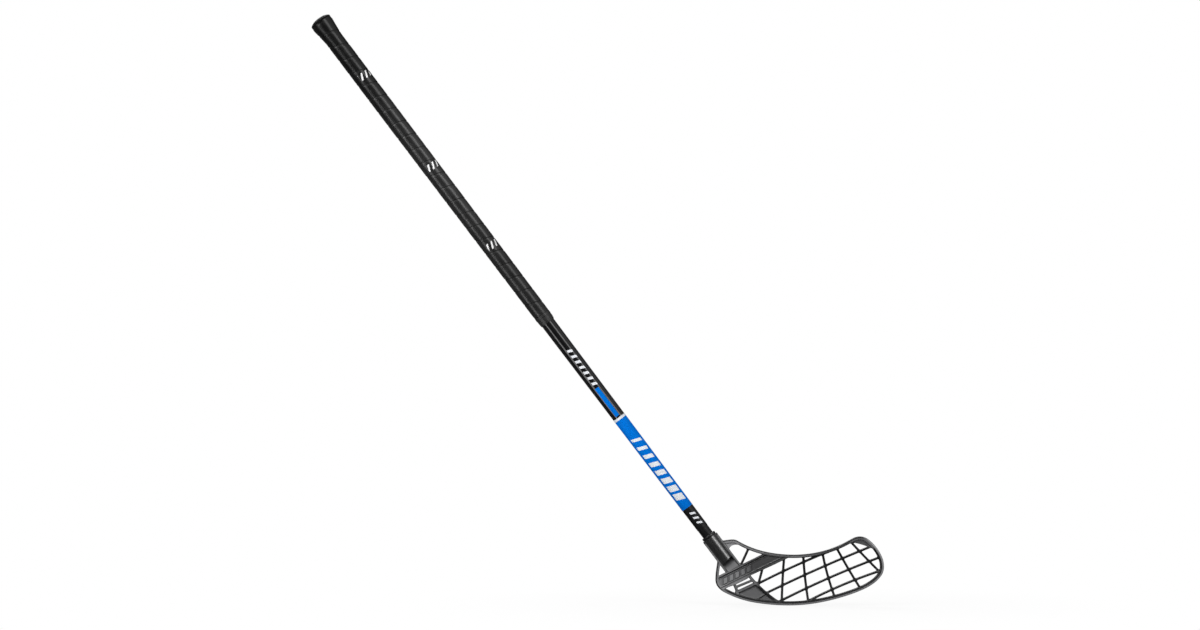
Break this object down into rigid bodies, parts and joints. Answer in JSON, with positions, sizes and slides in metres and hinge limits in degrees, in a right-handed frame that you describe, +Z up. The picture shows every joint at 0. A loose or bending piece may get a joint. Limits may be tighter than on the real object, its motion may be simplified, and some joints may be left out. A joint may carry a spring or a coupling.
{
  "type": "floorball stick",
  "caption": "Left-handed floorball stick: tapered black shaft with a wound grip, flared end cap, blue printed band and an open ribbed plastic blade on a screwed hosel.",
  "frame": {"origin": "middle of the grip, on the shaft's axis", "axes": "playing pose: +X from the blade's heel to its tip, +Y towards the back of the blade, +Z up; the shaft leans back towards -X"},
  "size_m": [0.8455, 0.0473, 0.8748],
  "materials": {
    "shaft_lacquer": "gloss black lacquer over composite",
    "cap_rubber": "matte moulded rubber",
    "grip_tape": "matte cushioned tape with fine grain",
    "end_band": "satin vinyl band",
    "blue_print": "printed film under lacquer",
    "white_print": "printed film under lacquer",
    "blade_plastic": "satin moulded polyethylene",
    "screw_steel": "zinc plated"
  },
  "bodies": {
    "stick": {"shaft_tube": "shaft_lacquer", "end_cap": "cap_rubber", "grip_tape": "grip_tape", "grip_end_band": "end_band", "decal_blue_band": "blue_print", "decal_white_ring": "white_print", "decal_blue_bar": "blue_print", "blade": "blade_plastic"},
    "upper_screw": {"blade_screw_upper": "screw_steel"},
    "lower_screw": {"blade_screw_lower": "screw_steel"}
  },
  "joints": [
    {"name": "upper_screw_out", "type": "slide", "parent": "stick", "child": "upper_screw", "axis": [0, 1, 0], "range_m": [0, 0.012]},
    {"name": "lower_screw_out", "type": "slide", "parent": "stick", "child": "lower_screw", "axis": [0, 1, 0], "range_m": [0, 0.012]}
  ]
}
